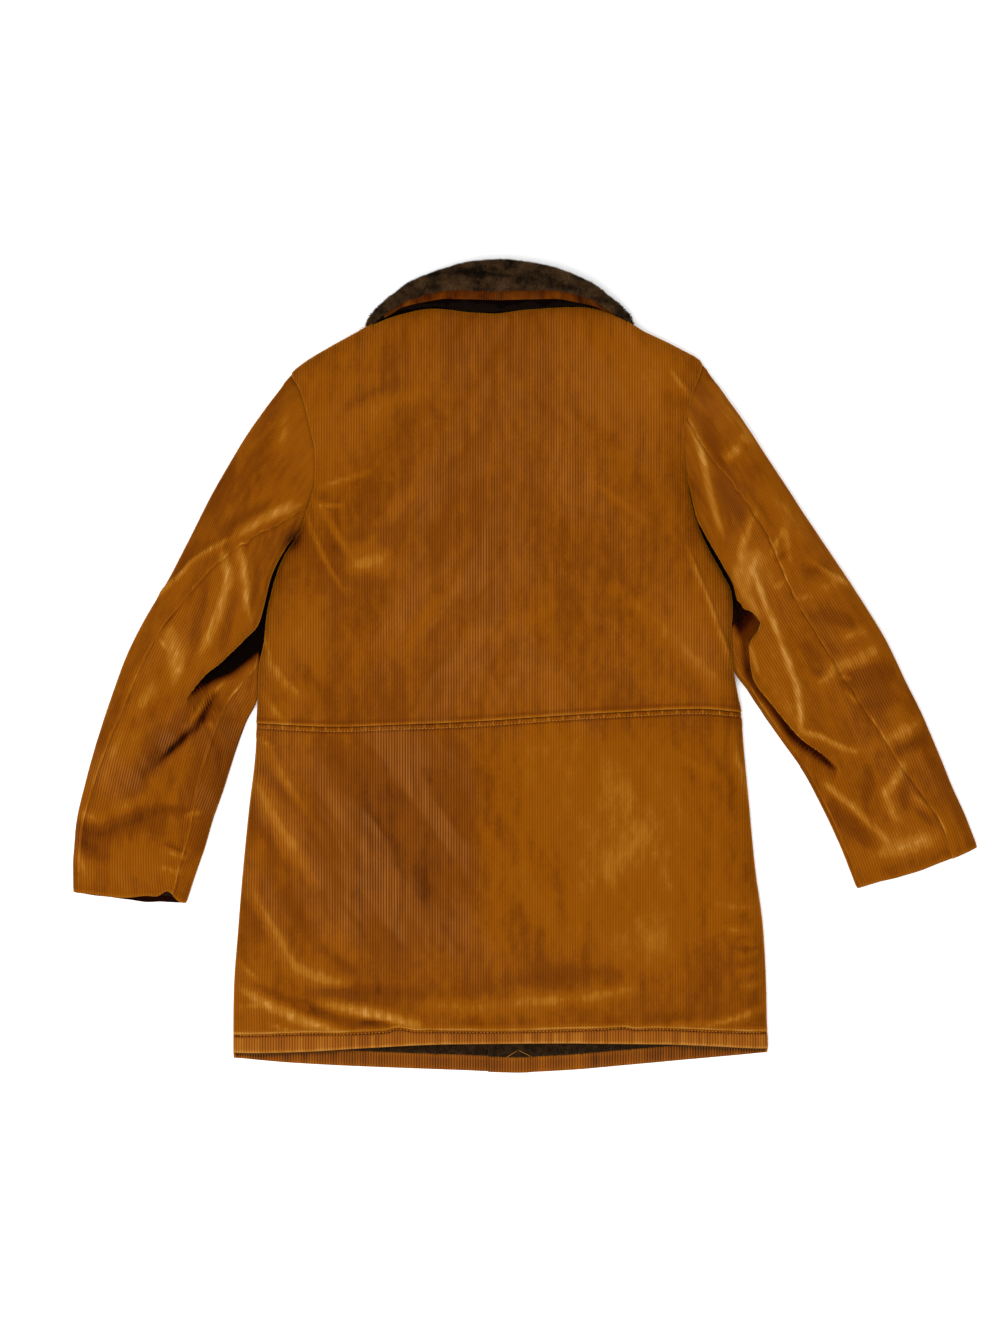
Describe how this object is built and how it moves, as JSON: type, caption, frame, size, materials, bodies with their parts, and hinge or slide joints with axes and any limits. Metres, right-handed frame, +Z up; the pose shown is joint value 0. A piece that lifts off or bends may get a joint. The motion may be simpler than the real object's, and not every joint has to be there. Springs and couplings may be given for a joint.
{
  "type": "rancher jacket",
  "caption": "Thigh-length corduroy rancher jacket lying face down, with a folded pile collar, waist seam, set-in sleeves and a pile lining showing at the hem and cuffs.",
  "frame": {"origin": "middle of the bounding box, on the surface the jacket lies on", "axes": "+X towards the wearer's right sleeve, +Y up the jacket towards the collar, +Z up from the surface; the jacket lies on its front"},
  "size_m": [1.0688, 0.958, 0.041],
  "materials": {
    "corduroy": "wide-wale cotton corduroy, tan brown, napped",
    "pile": "dense short pile, very dark brown",
    "lining": "pile lining, very dark brown",
    "cuff_lining": "smooth sleeve lining, very dark brown"
  },
  "bodies": {
    "root": {"back_upper": "corduroy", "back_lower": "corduroy", "front_left": "corduroy", "front_right": "corduroy", "sleeve_left_top": "corduroy", "sleeve_left_under": "corduroy", "sleeve_right_top": "corduroy", "sleeve_right_under": "corduroy", "collar_top": "pile", "collar_under": "corduroy", "lining_back": "lining", "lining_front_left": "lining", "lining_front_right": "lining", "cuff_lining_left": "cuff_lining", "cuff_lining_right": "cuff_lining"}
  },
  "joints": []
}
